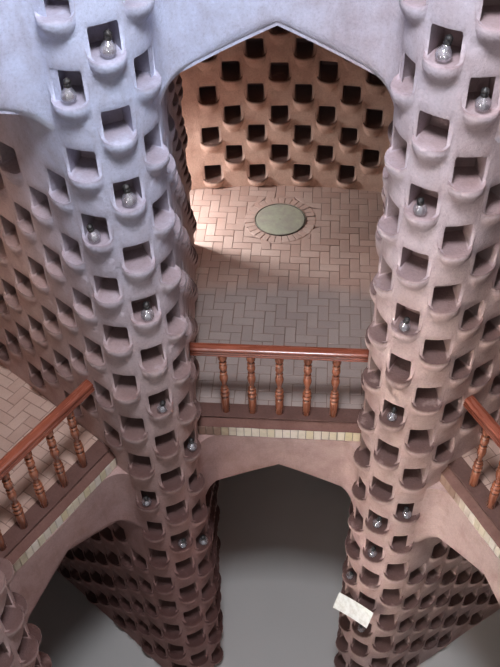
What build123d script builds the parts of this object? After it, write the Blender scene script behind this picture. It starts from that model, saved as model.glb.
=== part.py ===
from build123d import *
from math import cos, degrees, radians, sin, sqrt, tan
import os

# Pigeon tower gallery section: half a ring of niche-covered mud-brick piers round
# a six-sided open shaft, two storeys high, with three arched bays and the outer wall.
# Millimetres, +Z up, X to the right, Y outward from the shaft through the centre bay.
# The origin is the middle of the footprint, on the ground.

# Storeys
STOREYS = 2
STOREY = 4040.0
FLOOR_THICK = 50.0

# Shaft and bays
BAY_ANGLE = 60.0
BAY_AXES = {"left": 150.0, "centre": 90.0, "right": 30.0}
PIER_AXES = {"far_left": 180.0, "left": 120.0, "right": 60.0, "far_right": 0.0}
SPANDREL_Y = 1920.0

# Piers: a rounded nose towards the shaft, flat flanks and a curved end at the passage
NOSE_RADIUS = 360.0
NOSE_CENTRE = 2063.0
FLANK_SLOPE = 7.4
PIER_END = 4280.0
PIER_JOINT = 120.0

# Ring passage and outer wall
WALL_INNER = 5200.0
WALL_THICK = 950.0
WALL_OVERRUN = 18.0
PASSAGE_SPRING = 1950.0

# Pointed arches of the bays
ARCH_SPRING = 2950.0
ARCH_APEX = 3460.0
ARCH_SHOULDER = 250.0
ARCH_SHOULDER_TURN = 60.0
ARCH_FOOT = 60.0

# Niches and their half-round ledges
NICHE_WIDE = 170.0
NICHE_HIGH = 180.0
NICHE_DEEP = 280.0
NOSE_NICHE_DEEP = 180.0
NICHE_COLUMN = 237.5
NICHE_COURSE = 237.5
PIER_FIRST_ROW = 22.5
WALL_FIRST_ROW = 190.0
WALL_COLUMN_OFFSET = 73.0
LEDGE_RADIUS = 100.0
LEDGE_PROUD = 70.0
LEDGE_THICK = 45.0
NICHE_HEADROOM = 50.0
WALL_NICHE_MARGIN = 100.0

# Floor edge: plaster kerb over a band of tiles
KERB_FACE_Y = 1970.0
KERB_BACK_Y = 2100.0
KERB_HIGH = 75.0
TILE_FACE_Y = 1900.0
TILE_HIGH = 117.0

# Turned balustrade
RAIL_Y = 2030.0
RAIL_WIDE = 90.0
RAIL_HIGH = 85.0
RAIL_ROUND = 22.0
BALUSTER_HIGH = 700.0
BALUSTER_PITCH = 224.3
BALUSTER_COUNT = 5
BALUSTER_FOOT_RADIUS = 31.0
BALUSTER_BELLY_RADIUS = 35.0
BALUSTER_NECK_RADIUS = 16.0
BALUSTER_FOOT_HIGH = 60.0
BALUSTER_BELLY_AT = 230.0

# Round cover in the gallery floor
COVER_X = -130.0
COVER_Y = 4600.0
COVER_RADIUS = 265.0
COVER_RING = 105.0
COVER_PROUD = 12.0
RING_PROUD = 4.0

# Values worked out from the sizes above
HALF_BAY = BAY_ANGLE / 2
PIER_HALF_ANGLE = HALF_BAY - FLANK_SLOPE
WALL_OUTER = WALL_INNER + WALL_THICK
PASSAGE_MIDDLE = (PIER_END + WALL_INNER) / 2
PASSAGE_HALF = (WALL_INNER - PIER_END) / 2
NOSE_HALF_ARC = NOSE_RADIUS * radians(90 - PIER_HALF_ANGLE)
CENTRE_SHIFT = (WALL_OUTER - WALL_OUTER * sin(radians(WALL_OVERRUN))) / 2
WALL_ENDS = {"left": (-HALF_BAY, HALF_BAY + WALL_OVERRUN), "centre": (-HALF_BAY, HALF_BAY)}
WALL_ENDS["right"] = (-HALF_BAY - WALL_OVERRUN, HALF_BAY)
TOTAL_HIGH = STOREYS * STOREY
FAR = 2 * WALL_OUTER


def turned(shape, axis_angle):
    """Turns a piece from its own axis along +Y to the given direction."""
    return Rot(0, 0, axis_angle - 90) * shape


def half_width(y):
    """Half the width of a bay between the pier flanks, y out from the shaft centre."""
    nose_x = NOSE_CENTRE * sin(radians(HALF_BAY))
    nose_y = NOSE_CENTRE * cos(radians(HALF_BAY))
    slope = radians(FLANK_SLOPE)
    return nose_x + (y - nose_y) * tan(slope) - NOSE_RADIUS / cos(slope)


def block(plan, bottom, top):
    """A plan face raised between two levels."""
    return extrude(Pos(0, 0, bottom) * plan, amount=top - bottom)


def sector(radius, start, end):
    """A pie-shaped plan about the shaft centre, angles from +X."""
    corners = [(0, 0)]
    for angle in (start, (start + end) / 2, end):
        corners.append((FAR * cos(radians(angle)), FAR * sin(radians(angle))))
    return Circle(radius) & make_face(Polyline(*corners, close=True))


def bay_plan(front, back):
    """The floor of a bay between the flanks, from one distance to another."""
    corners = [(-half_width(front), front), (half_width(front), front)]
    corners += [(half_width(back), back), (-half_width(back), back)]
    return make_face(Polyline(*corners, close=True))


def round_backed(plan):
    """A bay plan that stops against the round outer wall."""
    return plan & Circle(WALL_INNER)


def flank_wedge():
    """The plan between a pier's two flank lines, run on far past the outer wall."""
    turn = radians(PIER_HALF_ANGLE)
    side_x = NOSE_RADIUS * cos(turn)
    side_y = NOSE_CENTRE - NOSE_RADIUS * sin(turn)
    far_x = side_x + FAR * sin(turn)
    far_y = side_y + FAR * cos(turn)
    corners = [(-side_x, side_y), (side_x, side_y), (far_x, far_y), (-far_x, far_y)]
    return make_face(Polyline(*corners, close=True))


def pier_plan():
    """Pier outline about its own axis: round nose, straight flanks, curved end."""
    nose = Pos(0, NOSE_CENTRE) * Circle(NOSE_RADIUS)
    return (flank_wedge() & Circle(PIER_END)) + nose


def passage_plan():
    """The passage floor behind a pier, between the flank lines run on."""
    return (flank_wedge() & Circle(WALL_INNER)) - Circle(PIER_END)


def pier_column_place(column):
    """Point on the pier's face and its outward angle, for a column counted from the tip."""
    along = abs(column) * NICHE_COLUMN
    side = 1 if column >= 0 else -1
    if along <= NOSE_HALF_ARC:
        lean = along / NOSE_RADIUS
        x = NOSE_RADIUS * sin(lean)
        y = NOSE_CENTRE - NOSE_RADIUS * cos(lean)
        facing = -90 + degrees(lean)
    else:
        turn = radians(PIER_HALF_ANGLE)
        run = along - NOSE_HALF_ARC
        x = NOSE_RADIUS * cos(turn) + run * sin(turn)
        y = NOSE_CENTRE - NOSE_RADIUS * sin(turn) + run * cos(turn)
        facing = -PIER_HALF_ANGLE
    if side < 0:
        x = -x
        facing = 180 - facing
    return x, y, facing


def last_pier_column():
    """The outermost column that still fits on the flank before the pier's end."""
    column = 1
    while True:
        x, y, _ = pier_column_place(column + 1)
        if sqrt(x * x + y * y) > PIER_END - NICHE_COLUMN / 2:
            return column
        column += 1


def niche_cut(x, y, facing, middle, depth):
    """The box cut of one niche, reaching out past its ledge."""
    out = LEDGE_PROUD + LEDGE_RADIUS
    cut = Box(depth + out, NICHE_WIDE, NICHE_HIGH)
    return Pos(x, y, middle) * Rot(0, 0, facing) * Pos((out - depth) / 2, 0, 0) * cut


def niche_ledge(x, y, facing, middle):
    """The half-round ledge below one niche, its round part standing out of the wall."""
    ledge = Cylinder(LEDGE_RADIUS, LEDGE_THICK)
    low = middle - NICHE_HIGH / 2 - LEDGE_THICK / 2
    back = LEDGE_PROUD - LEDGE_RADIUS
    return Pos(x, y, low) * Rot(0, 0, facing) * Pos(back, 0, 0) * ledge


def pierced(body, places):
    """A wall or pier with its ledges added and its niches cut."""
    ledges = [niche_ledge(x, y, facing, middle) for x, y, facing, middle, depth in places]
    cuts = [niche_cut(x, y, facing, middle, depth) for x, y, facing, middle, depth in places]
    return body.fuse(*ledges).cut(*cuts)


def pier_niches(bottom, top, storey):
    """Niche places of one pier and storey, levels counted from that storey's floor."""
    places = []
    last = last_pier_column()
    rows = int((top - PIER_FIRST_ROW) / NICHE_COURSE) + 1
    for column in range(-last, last + 1):
        x, y, facing = pier_column_place(column)
        on_nose = abs(column) * NICHE_COLUMN <= NOSE_HALF_ARC
        for row in range(rows):
            middle = PIER_FIRST_ROW + row * NICHE_COURSE
            if (column + row + storey) % 2 != 0:
                continue
            if middle - NICHE_HIGH / 2 - LEDGE_THICK < bottom or middle + NICHE_HIGH / 2 > top:
                continue
            if not on_nose and middle < NICHE_COURSE / 2:
                continue
            if not on_nose and middle + NICHE_HIGH / 2 + NICHE_HEADROOM > ARCH_SPRING:
                continue
            depth = NOSE_NICHE_DEEP if on_nose else NICHE_DEEP
            places.append((x, y, facing, middle, depth))
    return places


def pier(storey):
    """One storey of a pier about its own axis, standing at its own floor level."""
    bottom = 0 if storey == 0 else -PIER_JOINT
    top = STOREY if storey == STOREYS - 1 else STOREY - PIER_JOINT
    body = block(pier_plan(), bottom, top)
    return pierced(body, pier_niches(bottom, top, storey))


def wall_niches():
    """Niche places on the round wall behind a bay, about the bay's axis."""
    places = []
    reach = half_width(sqrt(WALL_INNER ** 2 - half_width(WALL_INNER) ** 2))
    columns = int(reach / NICHE_COLUMN) + 1
    rows = int(ARCH_APEX / NICHE_COURSE)
    for column in range(-columns, columns + 1):
        arc = WALL_COLUMN_OFFSET + column * NICHE_COLUMN
        if abs(arc) > reach - WALL_NICHE_MARGIN:
            continue
        lean = degrees(arc / WALL_INNER)
        x = WALL_INNER * sin(radians(lean))
        y = WALL_INNER * cos(radians(lean))
        vault = ARCH_SPRING + (ARCH_APEX - ARCH_SPRING) * (1 - abs(arc) / reach)
        for row in range(rows):
            middle = WALL_FIRST_ROW + row * NICHE_COURSE
            if (column + row) % 2 != 0:
                continue
            if middle + NICHE_HIGH / 2 + NICHE_HEADROOM > vault:
                continue
            places.append((x, y, -90 - lean, middle, NICHE_DEEP))
    return places


def outer_wall(ends):
    """One storey of the round outer wall about a bay's axis, with its niches."""
    start, end = ends
    plan = sector(WALL_OUTER, 90 + start, 90 + end) - Circle(WALL_INNER)
    return pierced(block(plan, 0, STOREY), wall_niches())


def arch_profile(y):
    """The pointed opening of a bay at one distance out, as an upright face."""
    half = half_width(y)
    turn = radians(ARCH_SHOULDER_TURN)
    bend_x = half - ARCH_SHOULDER + ARCH_SHOULDER * cos(turn)
    bend_z = ARCH_SPRING + ARCH_SHOULDER * sin(turn)
    low = ARCH_SPRING - ARCH_SHOULDER
    middle = (half - ARCH_SHOULDER, ARCH_SPRING)
    right_side = Line((half, low), (half, ARCH_SPRING))
    right_shoulder = CenterArc(middle, ARCH_SHOULDER, 0, ARCH_SHOULDER_TURN)
    right_long = TangentArc((bend_x, bend_z), (0, ARCH_APEX), tangent=(-sin(turn), cos(turn)))
    left_long = mirror(right_long, about=Plane.YZ)
    left_shoulder = mirror(right_shoulder, about=Plane.YZ)
    left_side = mirror(right_side, about=Plane.YZ)
    sill = Line((-half, low), (half, low))
    curves = [right_side, right_shoulder, right_long, left_long, left_shoulder, left_side, sill]
    face = make_face(Wire(Curve() + curves).edges())
    return Pos(0, y, 0) * Rot(90, 0, 0) * face


def arch():
    """Spandrel and vault of one bay and storey about the bay's axis."""
    front = round_backed(bay_plan(SPANDREL_Y, WALL_INNER))
    rear = round_backed(bay_plan(KERB_BACK_Y, WALL_INNER))
    foot = ARCH_SPRING + ARCH_FOOT
    body = block(front, foot, STOREY - KERB_HIGH - TILE_HIGH)
    body += block(rear, foot, STOREY - FLOOR_THICK)
    tunnel = loft([arch_profile(TILE_FACE_Y), arch_profile(WALL_OUTER)], ruled=True)
    return body - tunnel


def passage_head():
    """The vault over the passage behind one pier, about the pier's axis."""
    body = block(passage_plan(), PASSAGE_SPRING, STOREY - FLOOR_THICK)
    ring = Torus(PASSAGE_MIDDLE, PASSAGE_HALF)
    return body - Pos(0, 0, PASSAGE_SPRING) * ring


def bay_pieces(front, back, bottom, top):
    """A straight band across a bay between two distances and two levels."""
    return block(bay_plan(front, back), bottom, top)


def paving(bay):
    """The floor of a bay with its share of the ring passage, about the bay's axis."""
    start, end = WALL_ENDS[bay]
    ring = sector(WALL_INNER, 90 + start, 90 + end) - Circle(PIER_END)
    plan = ring + round_backed(bay_plan(KERB_BACK_Y, WALL_INNER))
    return block(plan, -FLOOR_THICK, 0)


def handrail():
    """The rail over the balusters, its ends on the pier flanks."""
    middle = BALUSTER_HIGH + RAIL_HIGH / 2
    section = Pos(RAIL_Y, middle) * RectangleRounded(RAIL_WIDE, RAIL_HIGH, RAIL_ROUND)
    bar = extrude(Plane.YZ * section, amount=half_width(KERB_BACK_Y) * 2, both=True)
    between = bay_pieces(RAIL_Y - RAIL_WIDE, RAIL_Y + RAIL_WIDE, 0, STOREY)
    return bar & between


def baluster():
    """One turned baluster: square-shouldered foot, belly and neck, standing at the origin."""
    foot_top = (BALUSTER_FOOT_RADIUS, BALUSTER_FOOT_HIGH)
    waist = (BALUSTER_NECK_RADIUS, BALUSTER_FOOT_HIGH + BALUSTER_FOOT_RADIUS)
    belly = (BALUSTER_BELLY_RADIUS, BALUSTER_BELLY_AT)
    neck = (BALUSTER_NECK_RADIUS, BALUSTER_HIGH / 2)
    half = [Line((0, 0), (BALUSTER_FOOT_RADIUS, 0)), Line((BALUSTER_FOOT_RADIUS, 0), foot_top)]
    half += [Line(foot_top, waist)]
    half += [Spline(waist, belly, neck, tangents=[(1, 2), (0, 1), (0, 1)])]
    outline = Curve() + half
    upper = mirror(outline, about=Plane((0, BALUSTER_HIGH / 2, 0), z_dir=(0, 1, 0)))
    axis_line = Line((0, BALUSTER_HIGH), (0, 0))
    face = make_face((outline + upper + axis_line).edges())
    return revolve(Plane.XZ * face, axis=Axis.Z)


def balusters():
    """A bay's row of balusters at the rail line."""
    first = -(BALUSTER_COUNT - 1) / 2
    places = [(first + number) * BALUSTER_PITCH for number in range(BALUSTER_COUNT)]
    one = baluster()
    return [Pos(x, RAIL_Y, 0) * one for x in places]


def disc(radius, bottom, top):
    """A flat round plate at the cover's place in the centre bay."""
    return block(Pos(COVER_X, COVER_Y) * Circle(radius), bottom, top)


def save(name, shapes, axis_angle=90.0, level=0.0):
    """Turns the solids to their axis, lifts them to their storey and writes the node."""
    solids = []
    for shape in shapes:
        placed = Pos(0, -CENTRE_SHIFT, level) * turned(shape, axis_angle)
        solids += placed.solids()
    whole = solids[0] if len(solids) == 1 else Compound(children=solids)
    whole.label = name
    export_step(whole, "parts/" + name + ".step")
    print(name, len(solids), round(sum(solid.volume for solid in solids) / 1e9, 3), "m3")


os.makedirs("parts", exist_ok=True)
LEVELS = ("lower", "upper")

for storey, level_name in enumerate(LEVELS):
    floor = storey * STOREY
    pier_master = pier(storey)
    for name, angle in PIER_AXES.items():
        save("pier_" + name + "_" + level_name, [pier_master], angle, floor)
    arch_master = arch()
    for name, angle in BAY_AXES.items():
        save("arch_" + name + "_" + level_name, [arch_master], angle, floor)
        save("outer_wall_" + name + "_" + level_name, [outer_wall(WALL_ENDS[name])], angle, floor)
    heads = [turned(passage_head(), angle) for angle in PIER_AXES.values()]
    save("passage_heads_" + level_name, heads, 90.0, floor)

gallery = STOREY
roof = TOTAL_HIGH
kerb = bay_pieces(KERB_FACE_Y, KERB_BACK_Y, -KERB_HIGH, 0)
tiles = bay_pieces(TILE_FACE_Y, KERB_BACK_Y, -KERB_HIGH - TILE_HIGH, -KERB_HIGH)
cover_hole = disc(COVER_RADIUS + COVER_RING, -FLOOR_THICK, 0)

for name, angle in BAY_AXES.items():
    floor_slab = paving(name)
    if name == "centre":
        floor_slab = floor_slab - cover_hole
    save("gallery_paving_" + name, [floor_slab], angle, gallery)
    save("gallery_kerb_" + name, [kerb], angle, gallery)
    save("tile_band_" + name, [tiles], angle, gallery)
    save("balusters_" + name, balusters(), angle, gallery)
    save("handrail_" + name, [handrail()], angle, gallery)

cover = disc(COVER_RADIUS, -FLOOR_THICK, COVER_PROUD)
cover_ring = disc(COVER_RADIUS + COVER_RING, -FLOOR_THICK, RING_PROUD)
save("floor_cover", [cover], 90.0, gallery)
save("floor_cover_ring", [cover_ring - disc(COVER_RADIUS, -FLOOR_THICK, RING_PROUD)], 90.0, gallery)

top_paving = [turned(paving(name), angle) for name, angle in BAY_AXES.items()]
top_kerb = [turned(kerb, angle) for angle in BAY_AXES.values()]
top_tiles = [turned(tiles, angle) for angle in BAY_AXES.values()]
save("top_paving", top_paving, 90.0, roof)
save("top_kerb", top_kerb, 90.0, roof)
save("top_tile_band", top_tiles, 90.0, roof)
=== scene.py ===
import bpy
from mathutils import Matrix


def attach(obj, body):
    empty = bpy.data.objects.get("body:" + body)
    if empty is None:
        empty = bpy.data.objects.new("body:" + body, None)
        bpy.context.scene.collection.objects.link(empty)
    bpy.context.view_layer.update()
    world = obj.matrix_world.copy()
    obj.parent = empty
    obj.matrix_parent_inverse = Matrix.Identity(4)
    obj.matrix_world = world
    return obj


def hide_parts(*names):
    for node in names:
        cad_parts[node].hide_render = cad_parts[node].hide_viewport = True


bl_info = {
    "name": "Pigeon tower gallery",
    "version": (1, 0, 0),
    "blender": (4, 5, 0),
    "location": "3D View > Sidebar > Tower",
    "description": "Dresses the piers, walls, floors and rails of a mud-brick pigeon tower",
    "category": "Object",
}

import random
from math import acos, atan2, ceil, copysign, cos, floor, hypot, pi, radians, sin, sqrt, tan

import bpy
import numpy as np
from bpy.props import FloatProperty, FloatVectorProperty, PointerProperty
from mathutils import Matrix, Vector

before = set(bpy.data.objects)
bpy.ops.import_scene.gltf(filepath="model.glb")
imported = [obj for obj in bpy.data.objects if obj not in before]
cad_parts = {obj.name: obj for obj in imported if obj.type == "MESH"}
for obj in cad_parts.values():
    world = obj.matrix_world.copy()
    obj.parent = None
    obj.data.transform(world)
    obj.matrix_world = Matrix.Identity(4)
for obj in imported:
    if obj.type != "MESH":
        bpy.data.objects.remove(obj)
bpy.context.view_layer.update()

# The tower's plan, in metres: the shaft's centre lies towards the open side
STOREY = 4.04
STOREYS = 2
GALLERY = STOREY
TOP = STOREY * STOREYS
HALF_BAY = radians(30)
FLANK_SLOPE = radians(7.4)
PIER_TURN = HALF_BAY - FLANK_SLOPE
NOSE_RADIUS = 0.36
NOSE_CENTRE = 2.063
NOSE_HALF_ARC = NOSE_RADIUS * (pi / 2 - PIER_TURN)
PIER_END = 4.28
WALL_INNER = 5.2
WALL_OUTER = 6.15
WALL_OVERRUN = radians(18)
CENTRE_SHIFT = (WALL_OUTER - WALL_OUTER * sin(WALL_OVERRUN)) / 2
PIER_AXES = {"far_left": 180, "left": 120, "right": 60, "far_right": 0}
BAY_AXES = {"left": 150, "centre": 90, "right": 30}
LEVELS = ("lower", "upper")

# Where a flank's line meets the circle of the pier ends and that of the wall, out along a bay
FLANK_END_Y = 4.169
FLANK_WALL_Y = 5.083

ARCH_SPRING = 2.95
ARCH_APEX = 3.46
ARCH_SHOULDER = 0.25
ARCH_SHOULDER_TURN = radians(60)
SPANDREL_Y = 1.92
SPANDREL_PLASTER_Y = 1.908
SPANDREL_SWEEP = 0.19

# The floors and their edges, each slab's heights measured from the floor's own level
BED_TOP = -0.005
BED_BOTTOM = -0.05
BRICK_BOTTOM = -0.012
BRICK_ROUNDING = 0.003
SMALLEST_BRICK = 5e-5
SMALLEST_BRICK_AT_HOLE = 1e-4
# How far out from the shaft's centre the floor takes painted sky light, and over how much it fades
SKY_LIT_FLOOR_REACH = 3.66
SKY_LIT_FLOOR_BLEND = 0.14
KERB_BACK_Y = 2.10
KERB_HIGH = 0.075
TILE_FACE_Y = 1.90
TILE_HIGH = 0.117
TILE_BACK_Y = 1.93
TILE_BED_Y = 1.912
TILE_JOINT = 0.005
TILE_BEVEL = 0.004
COVER_X = -0.13
COVER_Y = 4.60
COVER_RADIUS = 0.265
COVER_RING = 0.105
RING_BRICKS = 30
RING_JOINT_SHARE = 0.06

RAIL_Y = 2.03
BALUSTER_HIGH = 0.70
BALUSTER_PITCH = 0.2243
BALUSTER_COUNT = 5

# The niche lattice: one niche to a module of two courses, staggered between columns
COLUMN = 0.2375
COURSE = 0.2375
STEPS = 16
STEP = 2 * COURSE / STEPS
ROW_MARGIN = 0.02
PIER_FIRST_ROW = 0.0225
PIER_LAST_COLUMN = 11
WALL_FIRST_ROW = 0.19
WALL_ROWS = 15
WALL_COLUMN_OFFSET = 0.073
WALL_NICHE_MARGIN = 0.1
NICHE_HEADROOM = 0.05
# How far a module may reach below the ground floor, where it is cut off level
FOOT_SLACK = 0.02
# A niche with its middle less than this under the gallery belongs to the upper storey
STOREY_CHANGE = 0.15

# The camera's place and turn in the part's frame, and its lens
CAMERA_PLACE = (0.260, -2.671 - CENTRE_SHIFT, 5.745 + GALLERY)
CAMERA_PITCH = radians(45.56)
CAMERA_ROLL = radians(-2.08)
CAMERA_YAW = radians(5.87)
FOCAL_PIXELS = 885.3
FRAME_LONG_SIDE = 667
SENSOR = 36.0


def srgb(red, green, blue):
    """A colour picked as screen values from 0 to 255, as the linear values shaders use."""
    def linear(value):
        value = value / 255
        return value / 12.92 if value <= 0.04045 else ((value + 0.055) / 1.055) ** 2.4
    return (linear(red), linear(green), linear(blue), 1.0)


def colour_setting(name, description, default):
    """A colour property of the tower's panel."""
    return FloatVectorProperty(
        name=name, description=description, default=default, size=4, min=0, max=1, subtype="COLOR"
    )


def length_setting(name, description, default):
    """A length property of the tower's panel."""
    return FloatProperty(
        name=name, description=description, default=default, min=0.0, unit="LENGTH", precision=4
    )


class TowerSizes(bpy.types.PropertyGroup):
    """Sizes of the small repeated forms"""

    niche_wide: length_setting("Niche width", "Width of a niche's mouth", 0.176)
    niche_high: length_setting("Niche height", "Height of a niche's mouth", 0.18)
    niche_deep: length_setting("Niche depth", "Depth of a niche in a flank or wall", 0.28)
    nose_niche_deep: length_setting("Nose niche depth", "Depth of a niche in a pier's nose", 0.18)
    ledge_radius: length_setting("Ledge radius", "Radius of the half-round ledge", 0.10)
    ledge_proud: length_setting("Ledge reach", "How far a ledge stands out of the wall", 0.07)
    brick_wide: length_setting("Brick width", "Width of a floor brick with its joint", 0.098)
    joint: length_setting("Joint", "Width of the joints between floor bricks", 0.0055)
    tile_pitch: length_setting("Tile pitch", "Width of an edge tile with its joint", 0.0625)


class TowerColours(bpy.types.PropertyGroup):
    """Colours of the finishes"""

    plaster_warm: colour_setting("Warm plaster", "Mud plaster in warm light", srgb(198, 171, 164))
    # Painted light: the cool colour stands for plaster lit by the sky, mixed in towards the top and the
    # left
    plaster_cool: colour_setting("Cool plaster", "Mud plaster near the sky", srgb(190, 196, 221))
    # Painted shade: the dark colour mixed into the hollows of the niches
    plaster_inside: colour_setting("Niche inside", "Bare mud in the niches", srgb(112, 88, 86))
    wall_warm: colour_setting("Wall plaster", "Plaster of the outer wall", srgb(204, 168, 148))
    kerb: colour_setting("Floor edge", "Plaster of the floor's edge", srgb(140, 104, 94))
    # Painted shadow: the near-black colour of the gap under the floor's edge board
    kerb_joint: colour_setting("Edge joint", "Dark joint in the floor's edge", srgb(34, 18, 16))
    brick: colour_setting("Floor brick", "Worn floor brick", srgb(200, 172, 158))
    brick_dark: colour_setting("Dark brick", "Darker floor bricks", srgb(170, 138, 124))
    mortar: colour_setting("Mortar", "Joints between floor bricks", srgb(126, 100, 90))
    tile: colour_setting("Edge tile", "Pale tiles under the floor edge", srgb(234, 222, 208))
    smear: colour_setting("Smeared mud", "Mud smeared over the edge tiles", srgb(150, 120, 104))
    rail: colour_setting("Handrail", "Varnished handrail", srgb(150, 84, 66))
    turned: colour_setting("Balusters", "Varnished turned balusters", srgb(166, 102, 76))
    cover: colour_setting("Cover", "Painted round cover", srgb(150, 143, 130))


class Value:
    """A shader socket that adds its own maths nodes when it is used in an expression."""

    def __init__(self, board, socket):
        self.board = board
        self.socket = socket

    def _math(self, operation, first, second):
        settings = {"operation": operation}
        return self.board.node("ShaderNodeMath", settings, {0: first, 1: second})

    def __add__(self, other):
        return self._math("ADD", self, other)

    def __radd__(self, other):
        return self._math("ADD", other, self)

    def __sub__(self, other):
        return self._math("SUBTRACT", self, other)

    def __rsub__(self, other):
        return self._math("SUBTRACT", other, self)

    def __mul__(self, other):
        return self._math("MULTIPLY", self, other)

    def __rmul__(self, other):
        return self._math("MULTIPLY", other, self)


class Board:
    """The node tree of one finish or of the sky, with short ways to add nodes to it."""

    def __init__(self, owner):
        owner.use_nodes = True
        self.owner = owner
        self.tree = owner.node_tree
        self.tree.nodes.clear()

    def node(self, kind, settings, inputs, output=0):
        """Adds a node: its settings first, then the values or links of its sockets."""
        node = self.tree.nodes.new(kind)
        for key, value in settings.items():
            setattr(node, key, value)
        for key, value in inputs.items():
            socket = node.inputs[key]
            if isinstance(value, Value):
                self.tree.links.new(value.socket, socket)
            else:
                socket.default_value = value
        return Value(self, node.outputs[output]) if node.outputs else None

    @property
    def place(self):
        """The place over the surface, in the part's frame."""
        return self.node("ShaderNodeTexCoord", {}, {}, "Object")

    def along(self, axis):
        """The place over the surface along one axis of the part."""
        return self.node("ShaderNodeSeparateXYZ", {}, {0: self.place}, axis)

    def kept(self, name, output="Fac"):
        """A value or a place stored on the mesh under a name."""
        return self.node("ShaderNodeAttribute", {"attribute_name": name}, {}, output)

    def noise(self, scale, detail=3.0, roughness=0.55, place=None, stretch=None):
        """Noise from 0 to 1 over the surface, stretched by a factor for each axis if given."""
        place = place or self.place
        if stretch:
            place = self.node("ShaderNodeMapping", {}, {"Vector": place, "Scale": stretch})
        sockets = {"Vector": place, "Scale": scale, "Detail": detail, "Roughness": roughness}
        return self.node("ShaderNodeTexNoise", {}, sockets)

    def mix(self, factor, first, second, blend="MIX"):
        """A mix of two colours."""
        settings = {"data_type": "RGBA", "blend_type": blend}
        return self.node("ShaderNodeMix", settings, {0: factor, 6: first, 7: second}, 2)

    def tinted(self, colour, *tint):
        """A colour multiplied by a tint."""
        return self.mix(1.0, colour, (*tint, 1), "MULTIPLY")

    def ramp(self, factor, low, high):
        """A value taken from 0 at low to 1 at high."""
        sockets = {"Value": factor, "From Min": low, "From Max": high}
        return self.node("ShaderNodeMapRange", {"clamp": True}, sockets)

    def bump(self, height, strength, distance=0.01):
        """A normal bent by a height."""
        sockets = {"Height": height, "Strength": strength, "Distance": distance}
        return self.node("ShaderNodeBump", {}, sockets)

    def seen_plain(self):
        """1 for the rays that see the plain background: the camera's, of gloss and through glass."""
        kinds = ("Is Camera Ray", "Is Glossy Ray", "Is Transmission Ray")
        return sum(self.node("ShaderNodeLightPath", {}, {}, kind) for kind in kinds)

    def surface(self, colour, roughness, normal=None, **constants):
        """A surface shader: what varies is linked, and the constants are set on its sockets."""
        sockets = {"Base Color": colour, "Roughness": roughness}
        if normal:
            sockets["Normal"] = normal
        for key, value in constants.items():
            sockets[key.replace("_", " ")] = value
        return self.node("ShaderNodeBsdfPrincipled", {}, sockets)

    def finish(self, shader, kind="ShaderNodeOutputMaterial"):
        """Makes a shader the outcome of the tree, and returns the tree's owner."""
        self.node(kind, {}, {"Surface": shader})
        return self.owner


MATERIALS = {}


def new_board(name):
    """The empty board of a new material."""
    return Board(bpy.data.materials.new(name))


def plaster(name, warm, cool, inside, streaks=0.35):
    """Hand-smoothed mud plaster, paler and cooler towards the sky with painted sky light, and darker
    inside the niches with painted shade.
    """
    board = new_board(name)
    broad = board.noise(0.9, 3.0)
    middle = board.noise(6.5, 4.0)
    fine = board.noise(60.0, 4.0, 0.7)
    grain = board.noise(190.0, 2.0, 0.6)
    swept = board.noise(11.0, 3.0, stretch=(1.0, 1.0, 0.22))
    up, across = board.along("Z"), board.along("X")

    # Painted light: the left side by the shaft is painted cool and pale at the top as sky light, and red
    # and dark at the foot as shade
    left = board.ramp(across, 1.25, -0.5) * board.ramp(board.along("Y"), 1.1, 0.0)
    left_sky_light = left * board.ramp(across, -1.8, -1.3) * board.ramp(up, 4.2, 8.4)
    sky_lit_share = left_sky_light + board.ramp(up, 5.4, 8.0) * 0.35
    colour = board.mix(board.ramp(sky_lit_share + (broad - 0.5) * 0.35, 0.0, 1.0), warm, cool)
    # Painted shade: the foot of the left side is darkened and reddened
    colour = board.mix(left * board.ramp(up, 5.0, 2.8), colour, board.tinted(colour, 0.66, 0.50, 0.49))

    # Blotches, swept streaks and sandy grain
    colour = board.mix(board.ramp(middle, 0.42, 0.72), colour, board.tinted(colour, 0.84, 0.79, 0.77))
    stain = board.tinted(colour, 0.74, 0.68, 0.65)
    colour = board.mix(board.ramp(swept, 0.52, 0.78) * streaks, colour, stain)
    bright = board.tinted(colour, 1.16, 1.14, 1.12)
    dim = board.tinted(colour, 0.80, 0.78, 0.78)
    colour = board.mix(board.ramp(fine, 0.52, 0.70) * 0.8, colour, bright)
    colour = board.mix(board.ramp(fine, 0.47, 0.32) * 0.7, colour, dim)
    colour = board.mix(board.ramp(grain, 0.60, 0.72) * 0.35, colour, dim)

    # Dirt and painted shade on the ledges: dark on the lower ledges and paler on the upper ones
    dirt_and_shade = board.tinted(colour, 0.25, 0.19, 0.18)
    powder_and_shade = board.tinted(colour, 0.72, 0.64, 0.62)
    dusty = board.mix(board.ramp(up + left * 1.3, 5.4, 7.0), dirt_and_shade, powder_and_shade)
    colour = board.mix(board.kept("dust") * board.ramp(middle, 0.10, 0.40), colour, dusty)
    # Painted shade in the hollows of the niches and in the floor edge's gap, less of it where painted
    # sky light falls
    colour = board.mix(board.kept("recess") * (0.88 - sky_lit_share * 0.38), colour, inside)
    # Painted highlight: the arches' rims are painted pale and cool where light catches them
    rim = board.mix(0.45, colour, srgb(222, 224, 236))
    colour = board.mix(board.kept("rim"), colour, rim)
    height = middle * 0.55 + fine * 0.40 + swept * 0.35 + grain * 0.10
    rough = board.ramp(middle, 0.0, 1.0) * 0.12 + 0.84
    return board.finish(board.surface(colour, rough, board.bump(height, 0.8, 0.016)))


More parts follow.
